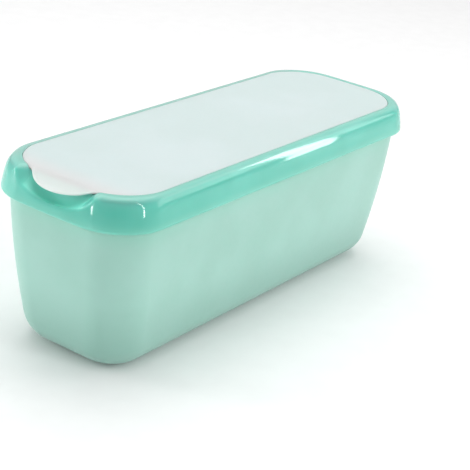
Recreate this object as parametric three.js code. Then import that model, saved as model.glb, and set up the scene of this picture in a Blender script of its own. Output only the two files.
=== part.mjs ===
// A long, shut food tub with a press-on lid, in millimetres with +Z up.
// X runs along the tub, and the end with the finger tab is at -X.
// The origin is at the middle of the base, on the surface that the tub stands on.
import * as THREE from "three";
import { mergeVertices } from "three/addons/utils/BufferGeometryUtils.js";

// Driving dimensions: the lid's outermost outline and its top.
const LENGTH = 280;
const WIDTH = 95;
const PANEL_TOP = 100;
const GAP = 0.3;

// Both ends bow out a little in the middle.
const END_BOW = 1.5;
const TUB_FOOT_BOW = 0.75;
const BOW_HALF_WIDTH = 40;
const BOW_START = 80;
const BOW_RUN = 50;

// Lid rim: insets of the panel's edge from the outline, corner radii and section.
// The section is flat from the panel to the shoulder, then curves down to the widest line.
const PANEL_INSET = { front: 7.85, back: 8.87, side: 6.98 };
const PANEL_CORNER = 26.1;
const RIM_CORNER = 26.55;
const SHOULDER_INSET = 3.06;
const RIM_CONTROL_INSET = 1.9;
const RIM_WIDEST_Z = 84.7;
const RIM_BOTTOM_Z = 82.8;
const RIM_LIP_INSET = 1.9;

// Lid panel: a plate whose front edge reaches out as a round tab that slopes down.
const PANEL_THICK = 2;
const PANEL_JOINT = 0.4;
const TAB_THICK = 1;
const TAB_THIN_X = -132;
const TAB_RADIUS = 25;
const TAB_FILLET = 1.5;
const TAB_SLOPE = 0.25;
const TAB_CREASE_X = -126;
const TAB_CREASE_SOFT = 3;
const TAB_FADE_START = 14;
const TAB_FADE_END = 26;
const PANEL_RING_STEP = 4;
const PANEL_RINGS = 4;

// Finger scoop under the tab: a dip of round section across the rim's front.
const SCOOP_BOTTOM = 88.9;
const SCOOP_RADIUS = 27;
const SCOOP_REACH = 25;
const SCOOP_EDGE_SOFT = 3;
const SCOOP_WALL_INSET = 9.4;
const SCOOP_CORNER = 1.2;
const ROOF_GAP = 0.5;
const SCOOP_WALL_THICK = 1.8;
const SCOOP_UNDER_TAB_Y = 17;

// How far along each hidden face of the rim its two inner rings lie.
const HIDDEN_SHARES = [0.4, 0.8];

// Tub: insets at the top of the visible wall, draft, curve and radii.
const TUB_WALL_TOP = 85.4;
const TUB_TOP = PANEL_TOP - PANEL_THICK - GAP;
const TUB_INSET = 4.29;
const TUB_DRAFT = { front: 8, back: 3.55, side: 2.21 };
const TUB_CURVE = { front: 4.97, back: 4.97, side: 6.28 };
const TUB_CORNER_TOP = 23.04;
const TUB_CORNER_FOOT = 20.62;
const TUB_FOOT_RADIUS = 13.75;
const TUB_STEP_INSET = SCOOP_WALL_INSET + SCOOP_WALL_THICK + GAP;
const TUB_STEP_CORNER = 2;
const TUB_PLATEAU_INSET = 17;

// Each solid's plastic: its colour and roughness.
const TUB_PLASTIC = [0xaadbcc, 0.45];
const RIM_PLASTIC = [0x7ad0bc, 0.2];
const PANEL_PLASTIC = [0xdcedea, 0.4];

// Facets.
const CORNER_STEPS = 12;
const FRONT_CROWDING = 1.4;
const FRONT_STEPS = 16;
const BACK_STEPS = 6;
const TOP_STEPS = 3;
const FACE_STEPS = 9;
const WALL_STEPS = 9;
const ROUND_STEPS = 5;

const clamp01 = (v) => Math.min(1, Math.max(0, v));
const mix = (a, b, t) => a + (b - a) * t;

function smoothStep(low, high, v) {
  const t = clamp01((v - low) / (high - low));
  return t * t * (3 - 2 * t);
}

// The larger of two values, with the change from one to the other rounded over a width.
function softMax(a, b, width) {
  const t = clamp01(0.5 + (0.5 * (a - b)) / width);
  return mix(b, a, t) + width * t * (1 - t);
}

// How far an end bows out at a place on the plan.
function bowAt(x, y, bow) {
  const across = Math.max(0, 1 - (y / BOW_HALF_WIDTH) ** 2);
  const along = smoothStep(BOW_START, BOW_START + BOW_RUN, Math.abs(x));
  return Math.sign(x) * bow * across * along;
}

// The places round a ring, anticlockwise from above: corners by angle, ends by a fraction.
// The front corners have their places closer together near the scoop.
function stationList() {
  const list = [];
  const even = (t) => t;
  const crowdedEnd = (t) => 1 - (1 - t) ** FRONT_CROWDING;
  const crowdedStart = (t) => t ** FRONT_CROWDING;
  const corner = (sx, sy, first, spread) => {
    for (let k = 0; k <= CORNER_STEPS; k += 1) {
      list.push({ sx, sy, angle: first + (Math.PI / 2) * spread(k / CORNER_STEPS) });
    }
  };
  const end = (sx, steps) => {
    for (let k = 1; k < steps; k += 1) {
      list.push({ sx, across: sx * mix(-1, 1, k / steps) });
    }
  };
  corner(1, 1, 0, even);
  corner(-1, 1, Math.PI / 2, crowdedEnd);
  end(-1, FRONT_STEPS);
  corner(-1, -1, Math.PI, crowdedStart);
  corner(1, -1, 1.5 * Math.PI, even);
  end(1, BACK_STEPS);
  return list;
}

// A point on the rounded rectangle that a ring describes, at one station.
function ringPoint(station, ring) {
  const front = -LENGTH / 2 + END_BOW + ring.front;
  const back = LENGTH / 2 - END_BOW - ring.back;
  const half = WIDTH / 2 - ring.side;
  const r = ring.radius;
  let x = station.sx < 0 ? front : back;
  let y = 0;
  if (station.angle === undefined) {
    y = station.across * (half - r);
  } else {
    x += -station.sx * r + r * Math.cos(station.angle);
    y = station.sy * (half - r) + r * Math.sin(station.angle);
  }
  x += bowAt(x, y, ring.bow ?? END_BOW);
  return new THREE.Vector3(x, y, ring.z);
}

// How far off the centre line a station's section is taken to lie.
function stationY(station) {
  return ringPoint(station, lidRing(PANEL_INSET.front, 0)).y;
}

// The ring of the lid that lies a given front inset inside the outline.
function lidRing(inset, z) {
  const edge = PANEL_INSET.front;
  if (inset > edge) {
    const more = inset - edge;
    return {
      front: inset,
      back: PANEL_INSET.back + more,
      side: PANEL_INSET.side + more,
      radius: PANEL_CORNER - more,
      z,
    };
  }
  const share = clamp01((inset - SHOULDER_INSET) / (edge - SHOULDER_INSET));
  const outer = Math.min(inset, SHOULDER_INSET);
  const back = mix(outer, PANEL_INSET.back, share);
  const side = mix(outer, PANEL_INSET.side, share);
  const radius = mix(RIM_CORNER, PANEL_CORNER, side / PANEL_INSET.side);
  return { front: inset, back, side, radius, z };
}

// The ring of the tub's wall at its top, moved in by a distance.
function tubWallRing(more) {
  const inset = TUB_INSET + more;
  return { front: inset, back: inset, side: inset, radius: TUB_CORNER_TOP - more };
}

// A ring part of the way from one ring to another.
function mixRings(a, b, t) {
  return {
    front: mix(a.front, b.front, t),
    back: mix(a.back, b.back, t),
    side: mix(a.side, b.side, t),
    radius: mix(a.radius, b.radius, t),
  };
}

// The rim's section curve, from the shoulder to the widest line, as an inset and a height.
function faceInset(t) {
  return (1 - t) * (1 - t) * SHOULDER_INSET + 2 * t * (1 - t) * RIM_CONTROL_INSET;
}

function faceHeight(t) {
  return mix(PANEL_TOP, RIM_WIDEST_Z, t * t);
}

// Height of the scoop's floor, which rounds off into the rim's flat top at each side.
function scoopFloor(y) {
  const off = Math.min(Math.abs(y), SCOOP_REACH);
  const arc = SCOOP_BOTTOM + SCOOP_RADIUS - Math.sqrt(SCOOP_RADIUS ** 2 - off ** 2);
  return -softMax(-arc, -PANEL_TOP, SCOOP_EDGE_SOFT);
}

// Height of the panel's upper face, which slopes down towards the tab's tip.
function panelTop(x, y) {
  const fade = 1 - smoothStep(TAB_FADE_START, TAB_FADE_END, Math.abs(y));
  return PANEL_TOP - TAB_SLOPE * softMax(TAB_CREASE_X - x, 0, TAB_CREASE_SOFT) * fade;
}

// Height of the panel's lower face, thinner in the tab than in the plate.
function panelUnderside(x, y) {
  const thin = smoothStep(-TAB_CREASE_X, -TAB_THIN_X, -x);
  return panelTop(x, y) - mix(PANEL_THICK, TAB_THICK, thin);
}

// How far the tab reaches out past the panel's front edge, for a ring inside the edge.
function tabReach(x, y, inside) {
  const radius = TAB_RADIUS - inside;
  if (x > 0 || Math.abs(y) >= radius) {
    return 0;
  }
  const centre = -LENGTH / 2 + TAB_RADIUS;
  return Math.max(0, softMax(x - (centre - Math.sqrt(radius * radius - y * y)), 0, TAB_FILLET));
}

// A closed mesh from rings of points, with both ends of the loft capped at a point.
function closedLoft(rings, firstPole, lastPole) {
  const count = rings[0].length;
  const positions = [firstPole, ...rings.flat(), lastPole].flatMap((p) => [p.x, p.y, p.z]);
  const at = (ring, k) => 1 + ring * count + (k % count);
  const last = 1 + rings.length * count;
  const faces = [];
  for (let k = 0; k < count; k += 1) {
    faces.push(0, at(0, k + 1), at(0, k));
    for (let ring = 0; ring + 1 < rings.length; ring += 1) {
      faces.push(at(ring, k), at(ring, k + 1), at(ring + 1, k + 1));
      faces.push(at(ring, k), at(ring + 1, k + 1), at(ring + 1, k));
    }
    faces.push(last, at(rings.length - 1, k), at(rings.length - 1, k + 1));
  }
  return facetedGeometry(positions, faces);
}

// A closed mesh from rings of points, the last joined to the first as in a hoop.
function closedHoop(rings) {
  const count = rings[0].length;
  const positions = rings.flat().flatMap((p) => [p.x, p.y, p.z]);
  const at = (ring, k) => (ring % rings.length) * count + (k % count);
  const faces = [];
  for (let ring = 0; ring < rings.length; ring += 1) {
    for (let k = 0; k < count; k += 1) {
      faces.push(at(ring, k), at(ring, k + 1), at(ring + 1, k + 1));
      faces.push(at(ring, k), at(ring + 1, k + 1), at(ring + 1, k));
    }
  }
  return facetedGeometry(positions, faces);
}

function facetedGeometry(positions, faces) {
  const geometry = new THREE.BufferGeometry();
  geometry.setAttribute("position", new THREE.Float32BufferAttribute(positions, 3));
  geometry.setIndex(faces);
  const merged = mergeVertices(geometry);
  merged.computeVertexNormals();
  return merged;
}

// Height of the tub's top edge, which dips under the scoop.
function tubEdgeHeight(station) {
  if (station.sx > 0) {
    return TUB_TOP;
  }
  return Math.min(TUB_TOP, scoopFloor(stationY(station)) - SCOOP_WALL_THICK - GAP);
}

// The rim's upper side along one section, from the panel's edge or the scoop's back wall
// over the lip to the widest line, as front insets and heights.
function rimTopSection(station) {
  const inner = PANEL_INSET.front - PANEL_JOINT;
  const top = station.sx < 0 ? scoopFloor(stationY(station)) : PANEL_TOP;
  const lip = Math.sqrt((PANEL_TOP - top) / (PANEL_TOP - RIM_WIDEST_Z));
  const points = [];
  for (let k = 0; k < TOP_STEPS; k += 1) {
    points.push([mix(inner, faceInset(lip), k / TOP_STEPS), top]);
  }
  for (let k = 0; k <= FACE_STEPS; k += 1) {
    const t = mix(lip, 1, k / FACE_STEPS);
    points.push([faceInset(t), faceHeight(t)]);
  }
  return points;
}

// The rim's rounded lower lip, from the widest line in to the lowest line.
function rimLipSection() {
  const points = [];
  for (let k = 1; k <= ROUND_STEPS; k += 1) {
    const a = ((Math.PI / 2) * k) / ROUND_STEPS;
    const z = RIM_WIDEST_Z - (RIM_WIDEST_Z - RIM_BOTTOM_Z) * Math.sin(a);
    points.push([RIM_LIP_INSET * (1 - Math.cos(a)), z]);
  }
  return points;
}

// The rim's hidden side, as rings and heights: up the tub's wall, over its top edge and back
// to the panel, or under the scoop's floor and up its back wall.
function rimInnerSection(station) {
  const y = station.sx < 0 ? stationY(station) : WIDTH;
  const edge = tubEdgeHeight(station) + GAP;
  const wall = tubWallRing(-GAP);
  if (Math.abs(y) < SCOOP_UNDER_TAB_Y) {
    const step = lidRing(TUB_STEP_INSET - GAP, 0);
    const back = lidRing(SCOOP_WALL_INSET, 0);
    const roof = (ring) => {
      const p = ringPoint(station, ring);
      return panelUnderside(p.x, p.y) - ROOF_GAP;
    };
    return [
      [wall, RIM_BOTTOM_Z],
      [wall, edge],
      [lidRing(TUB_STEP_INSET - GAP - TUB_STEP_CORNER, 0), edge],
      [step, edge + TUB_STEP_CORNER],
      [step, roof(step)],
      [back, roof(back)],
      [back, scoopFloor(y) + SCOOP_CORNER],
    ];
  }
  const inset = PANEL_INSET.front - PANEL_JOINT;
  const joint = lidRing(inset, 0);
  const top = scoopFloor(y);
  return [
    [wall, RIM_BOTTOM_Z],
    [wall, edge],
    ...HIDDEN_SHARES.map((share) => [mixRings(wall, joint, share), edge]),
    [joint, edge],
    ...HIDDEN_SHARES.map((share) => [joint, mix(edge, top, share)]),
  ];
}

function rimGeometry() {
  const sections = stationList().map((station) => {
    const visible = [...rimTopSection(station), ...rimLipSection()];
    const outline = visible.map(([inset, z]) => [lidRing(inset, 0), z]);
    outline.push(...rimInnerSection(station));
    return outline.map(([ring, z]) => ringPoint(station, { ...ring, z }));
  });
  const rings = sections[0].map((_, k) => sections.map((section) => section[k]));
  return closedHoop(rings.reverse());
}

// One ring of the panel, at a distance inside its edge, on its upper or lower face.
function panelRing(inside, height) {
  return stationList().map((station) => {
    const p = ringPoint(station, lidRing(PANEL_INSET.front + inside, 0));
    p.x -= tabReach(p.x, p.y, inside);
    p.z = height(p.x, p.y);
    return p;
  });
}

function panelGeometry() {
  const insides = Array.from({ length: PANEL_RINGS + 1 }, (_, k) => k * PANEL_RING_STEP);
  const under = insides.map((d) => panelRing(d, panelUnderside)).reverse();
  const over = insides.map((d) => panelRing(d, panelTop));
  const lowPole = new THREE.Vector3(0, 0, PANEL_TOP - PANEL_THICK);
  const highPole = new THREE.Vector3(0, 0, PANEL_TOP);
  return closedLoft([...under, ...over], lowPole, highPole);
}

// One ring of the tub's wall; the lowest ones turn in to the flat base.
function tubRing(z, turn) {
  const share = (TUB_WALL_TOP - z) / TUB_WALL_TOP;
  const more = TUB_FOOT_RADIUS * (1 - Math.cos(turn));
  const inset = (side) => TUB_INSET + TUB_DRAFT[side] * share + TUB_CURVE[side] * share ** 2 + more;
  const ring = {
    front: inset("front"),
    back: inset("back"),
    side: inset("side"),
    radius: mix(TUB_CORNER_TOP, TUB_CORNER_FOOT, share) - more,
    bow: mix(END_BOW, TUB_FOOT_BOW, share),
    z,
  };
  return stationList().map((station) => ringPoint(station, ring));
}

// The rings of the tub's hidden top: its edge, the step behind the scoop and the plateau.
function tubTopRings() {
  const insets = [
    TUB_STEP_INSET - TUB_STEP_CORNER,
    TUB_STEP_INSET,
    TUB_STEP_INSET,
    TUB_PLATEAU_INSET,
  ];
  const corner = [0, TUB_STEP_CORNER, TUB_TOP, TUB_TOP];
  const top = insets.map((inset, k) =>
    stationList().map((station) => {
      const p = ringPoint(station, lidRing(inset, 0));
      const edge = tubEdgeHeight(station);
      p.z = Math.min(TUB_TOP, edge + corner[k], panelUnderside(p.x, p.y) - ROOF_GAP);
      return p;
    }),
  );
  const edge = stationList().map((station) =>
    ringPoint(station, { ...tubWallRing(0), z: tubEdgeHeight(station) }),
  );
  return [edge, ...top];
}

function tubGeometry() {
  const foot = [];
  for (let k = 0; k <= ROUND_STEPS; k += 1) {
    const turn = (Math.PI / 2) * (1 - k / ROUND_STEPS);
    foot.push(tubRing(TUB_FOOT_RADIUS * (1 - Math.sin(turn)), turn));
  }
  const wall = [];
  for (let k = 1; k <= WALL_STEPS; k += 1) {
    wall.push(tubRing(mix(TUB_FOOT_RADIUS, TUB_WALL_TOP, k / WALL_STEPS), 0));
  }
  const lowPole = new THREE.Vector3(0, 0, 0);
  const highPole = new THREE.Vector3(0, 0, TUB_TOP);
  return closedLoft([...foot, ...wall, ...tubTopRings()], lowPole, highPole);
}

// A mesh in its own plastic.
function moulded(name, geometry, [color, roughness]) {
  const material = new THREE.MeshStandardMaterial({ color, roughness, metalness: 0 });
  const mesh = new THREE.Mesh(geometry, material);
  mesh.name = name;
  return mesh;
}

const container = new THREE.Group();
container.add(moulded("tub", tubGeometry(), TUB_PLASTIC));
container.add(moulded("lid_rim", rimGeometry(), RIM_PLASTIC));
container.add(moulded("lid_panel", panelGeometry(), PANEL_PLASTIC));

export default container;
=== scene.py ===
"""A long shut food tub with a press-on lid.

Sizes and places of the object, camera and floor are in millimetres, those of the lights
and of the grain in the materials in metres.
"""

import math

import bpy
import numpy as np
from mathutils import Euler, Matrix, Vector


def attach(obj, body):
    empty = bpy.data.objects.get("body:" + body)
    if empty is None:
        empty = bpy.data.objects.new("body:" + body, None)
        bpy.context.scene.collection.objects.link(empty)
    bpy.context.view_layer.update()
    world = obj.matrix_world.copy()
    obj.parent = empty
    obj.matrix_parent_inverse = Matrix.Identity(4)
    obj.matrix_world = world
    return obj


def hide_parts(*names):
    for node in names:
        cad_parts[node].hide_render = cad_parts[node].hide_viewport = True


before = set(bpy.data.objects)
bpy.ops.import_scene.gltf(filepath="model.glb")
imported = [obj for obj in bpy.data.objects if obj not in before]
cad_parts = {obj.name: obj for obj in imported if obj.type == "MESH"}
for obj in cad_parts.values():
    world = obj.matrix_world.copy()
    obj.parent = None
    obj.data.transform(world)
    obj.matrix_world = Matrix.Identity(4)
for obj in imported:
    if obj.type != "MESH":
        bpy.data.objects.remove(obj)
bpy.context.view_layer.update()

MM = 0.001

# Camera: the photograph's viewpoint, solved from the object's outline. It is turned by
# degrees about X, Y and Z.
CAMERA_PLACE = (-601.869, -405.574, 342.070)
CAMERA_TURN = (66.9284, -6.5673, -54.3088)
CAMERA_LENS = 106.698
CAMERA_SENSOR = 36.0
CAMERA_CLIP = (10.0, 50000.0)


def add_camera():
    data = bpy.data.cameras.new("camera")
    data.lens = CAMERA_LENS
    data.sensor_width = CAMERA_SENSOR
    data.clip_start, data.clip_end = (c * MM for c in CAMERA_CLIP)
    camera = bpy.data.objects.new("camera", data)
    bpy.context.collection.objects.link(camera)
    place = Matrix.Translation(Vector(CAMERA_PLACE) * MM)
    turn = Euler([math.radians(a) for a in CAMERA_TURN], "XYZ")
    camera.matrix_world = place @ turn.to_matrix().to_4x4()
    bpy.context.scene.camera = camera


add_camera()

# Sizes of the object. They are the CAD model's, but the joint round the panel and the
# gap under the tab are narrower here, and the rounds of the rim are wider.
LENGTH = 280.0
WIDTH = 95.0
PANEL_TOP = 100.0
GAP = 0.3

# The ends bow out in the middle; the bow fades in along the length from its start.
END_BOW = 1.5
TUB_FOOT_BOW = 0.75
BOW_HALF_WIDTH = 40.0
BOW_START = 80.0
BOW_RUN = 50.0

# The rim: insets are measured inwards from the lid's widest outline.
PANEL_INSET = {"front": 7.85, "back": 8.87, "side": 6.98}
PANEL_CORNER = 26.1
RIM_CORNER = 26.55
SHOULDER_INSET = 3.06
RIM_CONTROL_INSET = 1.9
RIM_WIDEST_Z = 84.7
RIM_BOTTOM_Z = 82.8
RIM_LIP_INSET = 1.9

# The panel and its tab, which slopes down past a crease and thins towards its tip.
PANEL_THICK = 2.0
PANEL_JOINT = 0.15
PANEL_EDGE_ROUND = 0.6
PANEL_FOOT_ROUND = 0.3
TAB_THICK = 1.0
TAB_THIN_X = -132.0
TAB_RADIUS = 25.0
TAB_FILLET = 1.5
TAB_SLOPE = 0.25
TAB_CREASE_X = -126.0
TAB_CREASE_SOFT = 3.0
TAB_FADE_START = 14.0
TAB_FADE_END = 26.0

# The finger scoop in the rim's front end, and its back wall under the tab.
SCOOP_BOTTOM = 88.9
SCOOP_RADIUS = 27.0
SCOOP_REACH = 25.0
SCOOP_EDGE_SOFT = 3.0
SCOOP_WALL_INSET = 9.4
SCOOP_WALL_THICK = 1.8
SCOOP_WALL_RUN = 2.0
SCOOP_ROUND = 5.8
ROOF_GAP = 0.35

# Rounds of the rim's section. The shoulder's round ends at a share of the outer face.
SHOULDER_ROUND = 2.9
SHOULDER_END = 0.73
INNER_ROUND = 0.35
JOINT_DEPTH = 2.0
LIP_ROUND = 1.1
# Where the lip lies this share of the way down the face, its own, smaller round has
# taken over from the shoulder's.
LIP_RUN = 0.35
# The lip's round takes a share of the face that is LIP_ROUND over the first of these and
# the second times the lip's own share.
LIP_SPREAD = 3.0
LIP_SPREAD_MORE = 14.0
# The rim's closing faces lie a hair further in than its inner wall, and stop this share
# of the way up to where that wall ends.
SEAM = 0.01
SEAM_SHARE = 0.9

# The tub, whose wall leans in by the draft and bends in by the curve, going down.
TUB_WALL_TOP = 85.4
TUB_TOP = PANEL_TOP - PANEL_THICK - GAP
TUB_INSET = 4.29
TUB_DRAFT = {"front": 8.0, "back": 3.55, "side": 2.21}
TUB_CURVE = {"front": 4.97, "back": 4.97, "side": 6.28}
TUB_CORNER_TOP = 23.04
TUB_CORNER_FOOT = 20.62
TUB_FOOT_RADIUS = 13.75
TUB_STEP = 2.0
TUB_STEP_INSET = SCOOP_WALL_INSET + SCOOP_WALL_THICK + GAP
TUB_STEP_CORNER = 0.1
TUB_PLATEAU_INSET = 17.0

# How finely the shapes are divided: round a ring, and then across the sections.
CORNER_STEPS = {"front": 84, "back": 40}
END_STEPS = {"front": 52, "back": 26}
SIDE_STEPS = 44
WALL_STEPS = 4
INNER_STEPS = 12
TOP_STEPS = 12
SHOULDER_STEPS = 16
FACE_STEPS = 30
CURL_STEPS = 12
PANEL_FOOT_STEPS = 3
PANEL_EDGE_STEPS = 8
PANEL_INSIDES = (1.2, 2.0, 3.2, 4.8, 7.0, 10.0, 13.5, 17.0)
TUB_FOOT_STEPS = 16
TUB_WALL_STEPS = 30


def smooth_step(low, high, v):
    t = np.clip((v - low) / (high - low), 0.0, 1.0)
    return t * t * (3.0 - 2.0 * t)


def mix(a, b, t):
    return a + (b - a) * t


def soft_max(a, b, width):
    """The larger of two values, with the change from one to the other rounded."""
    t = np.clip(0.5 + 0.5 * (a - b) / width, 0.0, 1.0)
    return mix(b, a, t) + width * t * (1.0 - t)


def bezier(a, b, c, t):
    return (1 - t) ** 2 * a + 2 * t * (1 - t) * b + t**2 * c


def station_table():
    """Places round a ring: the centre's place on the plan and the outward direction."""
    rows = []

    def corner(sx, sy, first, steps):
        for k in range(steps + 1):
            a = first + math.pi / 2 * k / steps
            rows.append((sx, sy, math.cos(a), math.sin(a)))

    def end(sx, steps):
        for k in range(1, steps):
            rows.append((sx, sx * mix(-1.0, 1.0, k / steps), sx, 0.0))

    def side(sy, steps):
        for k in range(1, steps):
            rows.append((sy * mix(1.0, -1.0, k / steps), sy, 0.0, sy))

    corner(1, 1, 0.0, CORNER_STEPS["back"])
    side(1, SIDE_STEPS)
    corner(-1, 1, math.pi / 2, CORNER_STEPS["front"])
    end(-1, END_STEPS["front"])
    corner(-1, -1, math.pi, CORNER_STEPS["front"])
    side(-1, SIDE_STEPS)
    corner(1, -1, 1.5 * math.pi, CORNER_STEPS["back"])
    end(1, END_STEPS["back"])
    return np.array(rows, float)


STATIONS = station_table()


def ring_points(front, back, side, radius, z, bow=END_BOW):
    """One rounded rectangle as points; every size may be a number or one per station."""
    ux, uy, nx, ny = STATIONS.T
    low = -LENGTH / 2 + END_BOW + front + radius
    high = LENGTH / 2 - END_BOW - back - radius
    x = mix(low, high, (ux + 1) / 2) + radius * nx
    y = uy * (WIDTH / 2 - side - radius) + radius * ny
    across = np.maximum(0.0, 1.0 - (y / BOW_HALF_WIDTH) ** 2)
    along = smooth_step(BOW_START, BOW_START + BOW_RUN, np.abs(x))
    x = x + np.sign(x) * bow * across * along
    return np.stack([x, y, z + 0.0 * x], 1)


def lid_ring(inset, z):
    """The lid's ring that lies a given front inset inside its outline."""
    edge = PANEL_INSET["front"]
    inset = inset + np.zeros(len(STATIONS))
    more = np.maximum(0.0, inset - edge)
    share = np.clip((inset - SHOULDER_INSET) / (edge - SHOULDER_INSET), 0.0, 1.0)
    outer = np.minimum(inset, SHOULDER_INSET)
    back = mix(outer, PANEL_INSET["back"], share) + more
    side = mix(outer, PANEL_INSET["side"], share)
    radius = mix(RIM_CORNER, PANEL_CORNER, side / PANEL_INSET["side"]) - more
    return ring_points(inset, back, side + more, radius, z)


# Each station's place across the lid. Those of the back half count as out of the scoop.
STATION_Y = np.where(
    STATIONS[:, 0] < 0, lid_ring(PANEL_INSET["front"], 0.0)[:, 1], WIDTH
)


def scoop_floor(y):
    off = np.minimum(np.abs(y), SCOOP_REACH)
    arc = SCOOP_BOTTOM + SCOOP_RADIUS - np.sqrt(SCOOP_RADIUS**2 - off**2)
    return -soft_max(-arc, -PANEL_TOP, SCOOP_EDGE_SOFT)


def panel_top(x, y):
    fade = 1.0 - smooth_step(TAB_FADE_START, TAB_FADE_END, np.abs(y))
    drop = TAB_SLOPE * soft_max(TAB_CREASE_X - x, 0.0, TAB_CREASE_SOFT)
    return PANEL_TOP - drop * fade


def panel_thickness(x):
    return mix(PANEL_THICK, TAB_THICK, smooth_step(-TAB_CREASE_X, -TAB_THIN_X, -x))


def under_panel(inset):
    """Height just under the panel at each station, for a ring at an inset."""
    x, y, _ = lid_ring(inset, 0.0).T
    return panel_top(x, y) - panel_thickness(x) - ROOF_GAP


def tab_reach(x, y, inside):
    """How far the tab reaches past the panel's front edge, for a ring inside its own."""
    radius = TAB_RADIUS - inside
    root = np.sqrt(np.maximum(0.0, radius**2 - y**2))
    reach = soft_max(x - (-LENGTH / 2 + TAB_RADIUS - root), 0.0, TAB_FILLET)
    return np.where((x > 0) | (np.abs(y) >= radius), 0.0, np.maximum(0.0, reach))


def add_piece(name, rings, capped):
    """A closed mesh object from rings of points: capped by fans, or joined as a hoop."""
    count = len(STATIONS)
    total = len(rings)
    points = np.concatenate(rings)
    faces = []
    for ring in range(total - 1 if capped else total):
        a = ring * count
        b = (ring + 1) % total * count
        for k in range(count):
            n = (k + 1) % count
            faces.append((a + k, a + n, b + n, b + k))
    if capped:
        first = len(points)
        last = first + 1
        low = [0.0, 0.0, rings[0][:, 2].max()]
        high = [0.0, 0.0, rings[-1][:, 2].max()]
        points = np.concatenate([points, [low, high]])
        a = (total - 1) * count
        for k in range(count):
            n = (k + 1) % count
            faces.append((first, n, k))
            faces.append((last, a + k, a + n))
    mesh = bpy.data.meshes.new(name)
    mesh.from_pydata((points * MM).tolist(), [], faces)
    mesh.validate()
    mesh.update()
    mesh.shade_smooth()
    piece = bpy.data.objects.new(name, mesh)
    bpy.context.collection.objects.link(piece)
    return piece


# Rim: one closed hoop. Its outer face runs from the shoulder to its widest place, and a
# share of the face is 0 at the level of the top and 1 at the widest place.
def face_inset(share):
    return bezier(SHOULDER_INSET, RIM_CONTROL_INSET, 0.0, share)


def face_height(share):
    return mix(PANEL_TOP, RIM_WIDEST_Z, share**2)


def face_slope(share):
    """How much the inset lessens for each millimetre that the face goes down."""
    upper = (1 - share) * (SHOULDER_INSET - RIM_CONTROL_INSET)
    return (upper + share * RIM_CONTROL_INSET) / (share * (PANEL_TOP - RIM_WIDEST_Z))


def rim_rows():
    """Insets and heights of the rim's rows, with the inset and end of its inner wall."""
    top = scoop_floor(STATION_Y)
    lip = np.sqrt((PANEL_TOP - top) / (PANEL_TOP - RIM_WIDEST_Z))
    joint = PANEL_INSET["front"] - PANEL_JOINT
    under = smooth_step(0.0, SCOOP_WALL_RUN, under_panel(joint) - top)
    inner = mix(joint, SCOOP_WALL_INSET, under)
    roof = under_panel(inner)
    wall_end = np.where(roof > top, roof, top - JOINT_DEPTH)

    # The wall beside the panel, or the scoop's back wall under the tab, which rises out
    # of the floor in a wide round.
    wall = wall_end - top
    room = mix(np.minimum(np.abs(wall), INNER_ROUND), wall, under)
    foot = top + np.sign(wall) * np.abs(room)
    run = mix(INNER_ROUND, SCOOP_ROUND, under)
    rows = [(inner, mix(wall_end, foot, k / WALL_STEPS)) for k in range(WALL_STEPS)]
    for k in range(INNER_STEPS + 1):
        t = k / INNER_STEPS
        rows.append((bezier(inner, inner, inner - run, t), bezier(foot, top, top, t)))

    # The flat top or the scoop's floor, as far as the start of the shoulder's round.
    low = smooth_step(0.0, LIP_RUN, lip)
    begin = face_inset(lip) + mix(SHOULDER_ROUND, LIP_ROUND, low)
    for k in range(1, TOP_STEPS):
        rows.append((mix(inner - run, begin, k / TOP_STEPS), top))

    # The round of the shoulder or the lip, which runs smoothly into the outer face.
    past_lip = lip + LIP_ROUND / (LIP_SPREAD + LIP_SPREAD_MORE * lip)
    share = mix(SHOULDER_END, past_lip, low)
    end_inset = face_inset(share)
    end_z = face_height(share)
    turn_inset = end_inset + (top - end_z) * face_slope(share)
    for k in range(SHOULDER_STEPS + 1):
        t = k / SHOULDER_STEPS
        rows.append((bezier(begin, turn_inset, end_inset, t), bezier(top, top, end_z, t)))

    # The rest of the outer face, and the curl of its lower edge.
    for k in range(1, FACE_STEPS + 1):
        t = mix(share, 1.0, k / FACE_STEPS)
        rows.append((face_inset(t), face_height(t)))
    for k in range(1, CURL_STEPS + 1):
        a = math.pi / 2 * k / CURL_STEPS
        z = RIM_WIDEST_Z - (RIM_WIDEST_Z - RIM_BOTTOM_Z) * math.sin(a)
        rows.append((RIM_LIP_INSET * (1 - math.cos(a)), z))
    return rows, inner, wall_end


def tub_wall_ring(more, z):
    inset = TUB_INSET + more
    return ring_points(inset, inset, inset, TUB_CORNER_TOP - more, z)


def tub_edge():
    height = scoop_floor(STATION_Y) - SCOOP_WALL_THICK - GAP
    return np.minimum(TUB_TOP, height)


def make_rim():
    rows, inner, wall_end = rim_rows()
    rings = [lid_ring(inset, z) for inset, z in rows]
    edge = tub_edge() + GAP
    seam = inner + SEAM
    rings.append(tub_wall_ring(-GAP, RIM_BOTTOM_Z))
    rings.append(tub_wall_ring(-GAP, edge))
    rings.append(lid_ring(seam, edge))
    rings.append(lid_ring(seam, np.minimum(wall_end, mix(edge, wall_end, SEAM_SHARE))))
    return add_piece("rim_shell", rings[::-1], capped=False)


# Panel: a plate with a rounded edge, whose front reaches out as the tab.
def panel_ring(inside, rise, below):
    """A ring that lies a rise above the plate's top, or above its underside if below."""
    points = lid_ring(PANEL_INSET["front"] + inside, 0.0)
    x = points[:, 0] - tab_reach(points[:, 0], points[:, 1], inside)
    top = panel_top(x, points[:, 1])
    points[:, 0] = x
    points[:, 2] = top + (rise - panel_thickness(x) if below else rise)
    return points


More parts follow.
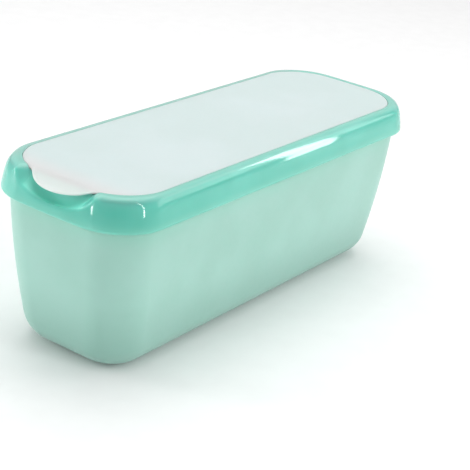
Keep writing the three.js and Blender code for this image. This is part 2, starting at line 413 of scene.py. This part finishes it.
def make_panel():
    rings = [panel_ring(inside, 0.0, True) for inside in PANEL_INSIDES[::-1]]
    for k in range(PANEL_FOOT_STEPS + 1):
        a = math.pi / 2 * k / PANEL_FOOT_STEPS
        inside = PANEL_FOOT_ROUND * (1 - math.sin(a))
        rings.append(panel_ring(inside, PANEL_FOOT_ROUND * (1 - math.cos(a)), True))
    for k in range(PANEL_EDGE_STEPS + 1):
        a = math.pi / 2 * k / PANEL_EDGE_STEPS
        inside = PANEL_EDGE_ROUND * (1 - math.cos(a))
        rings.append(panel_ring(inside, -PANEL_EDGE_ROUND * (1 - math.sin(a)), False))
    rings += [panel_ring(inside, 0.0, False) for inside in PANEL_INSIDES]
    return add_piece("panel_plate", rings, capped=True)


# Tub: the wall leans in and curves going down, and turns in to a flat base.
def tub_ring(z, more):
    share = (TUB_WALL_TOP - z) / TUB_WALL_TOP

    def inset(side):
        return TUB_INSET + TUB_DRAFT[side] * share + TUB_CURVE[side] * share**2 + more

    radius = mix(TUB_CORNER_TOP, TUB_CORNER_FOOT, share) - more
    bow = mix(END_BOW, TUB_FOOT_BOW, share)
    return ring_points(inset("front"), inset("back"), inset("side"), radius, z, bow)


def make_tub():
    rings = []
    for k in range(TUB_FOOT_STEPS + 1):
        turn = math.pi / 2 * (1 - k / TUB_FOOT_STEPS)
        rise = TUB_FOOT_RADIUS * (1 - math.sin(turn))
        rings.append(tub_ring(rise, TUB_FOOT_RADIUS * (1 - math.cos(turn))))
    for k in range(1, TUB_WALL_STEPS + 1):
        rings.append(tub_ring(mix(TUB_FOOT_RADIUS, TUB_WALL_TOP, k / TUB_WALL_STEPS), 0.0))
    # The hidden top steps up behind the scoop and ends just under the panel.
    edge = tub_edge()
    rings.append(tub_wall_ring(0.0, edge))
    for inset, rise in ((TUB_STEP_INSET - TUB_STEP, 0.0), (TUB_STEP_INSET, TUB_STEP)):
        rings.append(lid_ring(inset, np.minimum(TUB_TOP, edge + rise)))
    for inset in (TUB_STEP_INSET + TUB_STEP_CORNER, TUB_PLATEAU_INSET):
        rings.append(lid_ring(inset, np.minimum(TUB_TOP, under_panel(inset))))
    return add_piece("tub_shell", rings, capped=True)


tub = make_tub()
rim = make_rim()
panel = make_panel()

for piece, node, slot in (
    (tub, "tub", "tub_plastic"),
    (rim, "lid_rim", "rim_plastic"),
    (panel, "lid_panel", "panel_plastic"),
):
    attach(piece, "root")
    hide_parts(node)


# Materials. Colours are display numbers from 0 to 255, but the floor's are the shader's
# own; spans are places on the object; a share says how much of a tint is mixed in.
TUB_MINT = ((160, 205, 192), (166, 210, 198))
# Painted teal shade on the wall just under the rim, fading downwards.
TUB_PAINTED_RIM_SHADE = (132, 208, 186)
TUB_PAINTED_RIM_SHADE_Z = (70.0, 84.0)
TUB_PAINTED_RIM_SHADE_SHARE = 0.28
# Painted shade that darkens the wall towards its foot.
TUB_FOOT_SHADE = (138, 180, 168)
TUB_FOOT_SHADE_Z = (0.0, 45.0)
TUB_FOOT_SHADE_SHARE = 0.75

RIM_TEAL = ((100, 195, 177), (107, 201, 184))
# Painted light on the rim's lower edge, paling it towards the tub's colour.
RIM_SKIRT_PAINTED_LIGHT = (142, 206, 189)
RIM_SKIRT_PAINTED_LIGHT_Z = (82.5, 89.0)
RIM_SKIRT_PAINTED_LIGHT_SHARE = 0.45
RIM_MATT_Z = (82.8, 87.0)
# Painted light on the rim's flat top on the near side, painted grey shade on the far side.
RIM_TOP_PAINTED_LIGHT_SHADE = ((166, 214, 201), (190, 204, 199))
RIM_TOP_PAINTED_LIGHT_SHADE_Z = (97.5, 99.8)
RIM_TOP_PAINTED_LIGHT_SHADE_SHARE = 0.48
RIM_FAR_PAINTED_SHADE_Y = (30.0, 42.0)
# Painted light on the scoop's floor under the tab.
SCOOP_PAINTED_LIGHT = (124, 230, 209)
SCOOP_PAINTED_LIGHT_SIDE_Y = (17.0, 21.5)
SCOOP_PAINTED_LIGHT_FRONT_X = (-139.2, -137.5)
SCOOP_PAINTED_LIGHT_BACK_X = (-129.0, -127.0)
EXTRA_MATT = 0.30

PANEL_FROST = ((204, 224, 222), (209, 228, 228))
# Painted warm reflection on the tab and the panel's front.
PANEL_PAINTED_REFLECTION = (223, 218, 218)
PANEL_PAINTED_REFLECTION_X = (-136.0, -112.0)
PANEL_PAINTED_REFLECTION_SHARE = 0.8

FLOOR_WHITE = ((0.93, 0.93, 0.93, 1.0), (0.95, 0.95, 0.95, 1.0))
FLOOR_HALF = 6000.0
# A hair below the tub's base, so that the two faces don't share a plane.
FLOOR_Z = -0.2

# The parts of a noise's range that are spread out, for patches and for fine grain.
CLOUD_SPAN = (0.35, 0.65)
GRAIN_SPAN = (0.3, 0.7)


def linear(colour):
    """A display colour as the shader's numbers."""
    out = []
    for c in colour:
        c /= 255.0
        out.append(c / 12.92 if c <= 0.04045 else ((c + 0.055) / 1.055) ** 2.4)
    return (*out, 1.0)


class Nodes:
    """A material's nodes, placed and linked by short calls."""

    def __init__(self, name):
        self.material = bpy.data.materials.new(name)
        self.material.use_nodes = True
        self.tree = self.material.node_tree
        self.shader = self.tree.nodes["Principled BSDF"]
        self.place = self.tree.nodes.new("ShaderNodeTexCoord").outputs["Object"]

    def link(self, a, b):
        self.tree.links.new(a, b)

    def noise(self, scale, detail=2.0, stretch=(1.0, 1.0, 1.0)):
        mapping = self.tree.nodes.new("ShaderNodeMapping")
        mapping.inputs["Scale"].default_value = stretch
        node = self.tree.nodes.new("ShaderNodeTexNoise")
        node.inputs["Scale"].default_value = scale
        node.inputs["Detail"].default_value = detail
        self.link(self.place, mapping.inputs["Vector"])
        self.link(mapping.outputs["Vector"], node.inputs["Vector"])
        return node.outputs["Fac"]

    def remap(self, value, span, to_low, to_high):
        """Goes smoothly from one number to another as a value crosses a span."""
        node = self.tree.nodes.new("ShaderNodeMapRange")
        node.interpolation_type = "SMOOTHSTEP"
        names = ("From Min", "From Max", "To Min", "To Max")
        for name, number in zip(names, (*span, to_low, to_high)):
            node.inputs[name].default_value = number
        self.link(value, node.inputs["Value"])
        return node.outputs["Result"]

    def clouds(self, scale, detail):
        return self.remap(self.noise(scale, detail), CLOUD_SPAN, 0.0, 1.0)

    def grain(self, scale, detail, low, high):
        return self.remap(self.noise(scale, detail), GRAIN_SPAN, low, high)

    def axis(self, name):
        node = self.tree.nodes.new("ShaderNodeSeparateXYZ")
        self.link(self.place, node.inputs["Vector"])
        return node.outputs[name]

    def across(self, place, span, to_low, to_high):
        """The same as remap, for a place on the object and a span in millimetres."""
        return self.remap(place, [s * MM for s in span], to_low, to_high)

    def math(self, operation, a, b=None):
        node = self.tree.nodes.new("ShaderNodeMath")
        node.operation = operation
        self.link(a, node.inputs[0])
        if b is not None:
            self.link(b, node.inputs[1])
        return node.outputs["Value"]

    def blend(self, share, a, b):
        node = self.tree.nodes.new("ShaderNodeMix")
        node.data_type = "RGBA"
        self.link(share, node.inputs[0])
        for socket, value in ((node.inputs[6], a), (node.inputs[7], b)):
            if isinstance(value, tuple):
                socket.default_value = value
            else:
                self.link(value, socket)
        return node.outputs[2]

    def bump(self, value, strength, distance, after=None):
        node = self.tree.nodes.new("ShaderNodeBump")
        node.inputs["Strength"].default_value = strength
        node.inputs["Distance"].default_value = distance
        self.link(value, node.inputs["Height"])
        if after is not None:
            self.link(after, node.inputs["Normal"])
        return node.outputs["Normal"]

    def finish(self, colour, roughness, normal, **numbers):
        self.link(colour, self.shader.inputs["Base Color"])
        self.link(roughness, self.shader.inputs["Roughness"])
        self.link(normal, self.shader.inputs["Normal"])
        for name, number in numbers.items():
            self.shader.inputs[name.replace("_", " ")].default_value = number
        return self.material


def tub_material():
    n = Nodes("tub_plastic")
    z = n.axis("Z")
    colour = n.blend(n.clouds(scale=22.0, detail=3.0), *map(linear, TUB_MINT))
    # Just under the rim the wall is tinted teal: painted shade, coloured by light coming
    # through the rim, fading downwards.
    painted_rim_shade = n.across(z, TUB_PAINTED_RIM_SHADE_Z, 0.0, TUB_PAINTED_RIM_SHADE_SHARE)
    colour = n.blend(painted_rim_shade, colour, linear(TUB_PAINTED_RIM_SHADE))
    # Towards its foot the wall is painted darker and greyer: painted shade.
    foot = n.across(z, TUB_FOOT_SHADE_Z, TUB_FOOT_SHADE_SHARE, 0.0)
    colour = n.blend(foot, colour, linear(TUB_FOOT_SHADE))
    satin = n.bump(n.noise(scale=2600.0), strength=0.05, distance=0.0002)
    slow = n.noise(scale=9.0, stretch=(1.0, 1.0, 0.35))
    flow = n.bump(slow, strength=0.06, distance=0.0015, after=satin)
    return n.finish(
        colour,
        n.grain(scale=420.0, detail=3.0, low=0.38, high=0.48),
        flow,
        Subsurface_Weight=0.55,
        Subsurface_Scale=0.006,
        Subsurface_Radius=(0.8, 1.0, 0.95),
        Specular_IOR_Level=0.35,
        Sheen_Weight=0.15,
        Sheen_Roughness=0.4,
    )


def rim_material():
    n = Nodes("rim_plastic")
    x, y, z = (n.axis(name) for name in "XYZ")
    colour = n.blend(n.clouds(scale=30.0, detail=2.0), *map(linear, RIM_TEAL))
    # The rim's lower edge pales towards the tub's colour: painted light, standing for the
    # tub's light showing through the thin edge.
    skirt_painted_light = n.across(z, RIM_SKIRT_PAINTED_LIGHT_Z, RIM_SKIRT_PAINTED_LIGHT_SHARE, 0.0)
    colour = n.blend(skirt_painted_light, colour, linear(RIM_SKIRT_PAINTED_LIGHT))
    # The flat top is painted paler where it faces up, as painted light, and greyer along
    # the far side, as painted shade.
    top_painted_light_shade = n.blend(n.across(y, RIM_FAR_PAINTED_SHADE_Y, 0.0, 1.0), *map(linear, RIM_TOP_PAINTED_LIGHT_SHADE))
    colour = n.blend(n.across(z, RIM_TOP_PAINTED_LIGHT_SHADE_Z, 0.0, RIM_TOP_PAINTED_LIGHT_SHADE_SHARE), colour, top_painted_light_shade)
    # The floor of the scoop is painted lighter: painted light, standing for light that
    # comes through the translucent tab.
    side = n.across(n.math("ABSOLUTE", y), SCOOP_PAINTED_LIGHT_SIDE_Y, 1.0, 0.0)
    front = n.across(x, SCOOP_PAINTED_LIGHT_FRONT_X, 0.0, 1.0)
    back = n.across(x, SCOOP_PAINTED_LIGHT_BACK_X, 1.0, 0.0)
    scoop = n.math("MULTIPLY", n.math("MULTIPLY", side, front), back)
    colour = n.blend(scoop, colour, linear(SCOOP_PAINTED_LIGHT))
    # The plastic is glossy, but matt in the scoop and along its lower edge.
    scoop_matt = n.remap(scoop, (0.0, 1.0), 0.0, EXTRA_MATT)
    edge_matt = n.across(z, RIM_MATT_Z, EXTRA_MATT, 0.0)
    gloss = n.grain(scale=260.0, detail=2.0, low=0.035, high=0.065)
    roughness = n.math("ADD", n.math("ADD", gloss, scoop_matt), edge_matt)
    fine = n.bump(n.noise(scale=1500.0), strength=0.01, distance=0.0002)
    slow = n.noise(scale=26.0, detail=1.0)
    wave = n.bump(slow, strength=0.05, distance=0.001, after=fine)
    return n.finish(
        colour,
        roughness,
        wave,
        Subsurface_Weight=0.6,
        Subsurface_Scale=0.005,
        Subsurface_Radius=(0.6, 1.0, 0.95),
        Specular_IOR_Level=0.5,
    )


def panel_material():
    n = Nodes("panel_plastic")
    colour = n.blend(n.clouds(scale=14.0, detail=3.0), *map(linear, PANEL_FROST))
    # The tab and the panel's front are painted warmer: a painted pinkish reflection where
    # the tab slopes.
    painted_reflection = n.across(n.axis("X"), PANEL_PAINTED_REFLECTION_X, PANEL_PAINTED_REFLECTION_SHARE, 0.0)
    colour = n.blend(painted_reflection, colour, linear(PANEL_PAINTED_REFLECTION))
    return n.finish(
        colour,
        n.grain(scale=500.0, detail=3.0, low=0.46, high=0.56),
        n.bump(n.noise(scale=3000.0), strength=0.05, distance=0.0002),
        Subsurface_Weight=0.85,
        Subsurface_Scale=0.006,
        Subsurface_Radius=(0.9, 1.0, 1.0),
        Specular_IOR_Level=0.22,
    )


def floor_material():
    n = Nodes("floor_paper")
    fibres = n.grain(scale=60.0, detail=3.0, low=0.0, high=1.0)
    return n.finish(
        n.blend(fibres, *FLOOR_WHITE),
        n.grain(scale=90.0, detail=2.0, low=0.75, high=0.9),
        n.bump(n.noise(scale=800.0), strength=0.05, distance=0.0002),
    )


for piece, make in ((tub, tub_material), (rim, rim_material), (panel, panel_material)):
    piece.data.materials.append(make())


def add_floor():
    mesh = bpy.data.meshes.new("floor")
    signs = ((-1, -1), (1, -1), (1, 1), (-1, 1))
    half = FLOOR_HALF * MM
    corners = [(sx * half, sy * half, FLOOR_Z * MM) for sx, sy in signs]
    mesh.from_pydata(corners, [], [(0, 1, 2, 3)])
    mesh.update()
    mesh.materials.append(floor_material())
    floor = bpy.data.objects.new("floor", mesh)
    bpy.context.collection.objects.link(floor)


# World and lights. The world is dark in one direction, and its span is the range of
# closeness to that direction, as a cosine, over which it goes dark.
DARK_AZIMUTH = -142.0
DARK_SPAN = (0.78, 0.98)
WORLD_BRIGHT = 0.6
WORLD_DARK = 0.08
WORLD_WHITE = (1.0, 1.0, 1.0, 1.0)

STRIP_DISTANCE = 0.7
STRIP_BASE = 0.09
# The strips aim a hair below level.
STRIP_DIP = 0.0001


def add_light(name, place, target, size, power):
    data = bpy.data.lights.new(name, "AREA")
    data.shape = "RECTANGLE"
    data.size, data.size_y = size
    data.energy = power
    light = bpy.data.objects.new(name, data)
    bpy.context.collection.objects.link(light)
    light.location = place
    light.rotation_mode = "QUATERNION"
    aim = Vector(target) - Vector(place)
    light.rotation_quaternion = aim.to_track_quat("-Z", "Y")


def add_strip(name, azimuth, elevations, width, radiance, aim):
    """A tall narrow light at an azimuth round a place, between two elevations."""
    a = math.radians(azimuth)
    x = aim[0] + STRIP_DISTANCE * math.cos(a)
    y = aim[1] + STRIP_DISTANCE * math.sin(a)
    low, high = (
        STRIP_BASE + STRIP_DISTANCE * math.tan(math.radians(e)) for e in elevations
    )
    tall = high - low
    middle = (low + high) / 2
    power = radiance * math.pi * width * tall
    add_light(name, (x, y, middle), (*aim, middle - STRIP_DIP), (width, tall), power)


def add_world():
    """White all round, but dark on the camera's side, which a corner of the rim mirrors."""
    world = bpy.data.worlds.new("studio")
    bpy.context.scene.world = world
    world.use_nodes = True
    tree = world.node_tree
    background = tree.nodes["Background"]
    background.inputs["Color"].default_value = WORLD_WHITE
    place = tree.nodes.new("ShaderNodeTexCoord")
    dot = tree.nodes.new("ShaderNodeVectorMath")
    dot.operation = "DOT_PRODUCT"
    a = math.radians(DARK_AZIMUTH)
    dot.inputs[1].default_value = (math.cos(a), math.sin(a), 0.0)
    ramp = tree.nodes.new("ShaderNodeMapRange")
    ramp.interpolation_type = "SMOOTHSTEP"
    names = ("From Min", "From Max", "To Min", "To Max")
    for name, number in zip(names, (*DARK_SPAN, WORLD_BRIGHT, WORLD_DARK)):
        ramp.inputs[name].default_value = number
    tree.links.new(place.outputs["Generated"], dot.inputs[0])
    tree.links.new(dot.outputs["Value"], ramp.inputs["Value"])
    tree.links.new(ramp.outputs["Result"], background.inputs["Strength"])


add_floor()
add_world()
add_light("top_soft", (0.25, 0.2, 1.3), (0.0, 0.0, 0.0), size=(1.2, 1.2), power=8.5)
add_light("right_soft", (1.1, -1.1, 0.55), (0.0, 0.0, 0.05), size=(0.9, 0.7), power=4.0)
# The long patch on the near side of the rim, then the three streaks at its front end.
add_strip("sliver_light", -34.8, (-5.0, 20.0), 0.055, 9.0, aim=(0.015, -0.045))
add_strip("side_streak", -89.0, (-1.5, 60.0), 0.032, 18.0, aim=(-0.122, -0.043))
add_strip("end_streak", 170.5, (-4.5, 14.0), 0.04, 17.0, aim=(-0.137, -0.025))
add_strip("far_streak", 118.0, (-6.0, 25.0), 0.10, 16.0, aim=(-0.136, 0.026))

view = bpy.context.scene.view_settings
view.view_transform = "Standard"
view.look = "None"
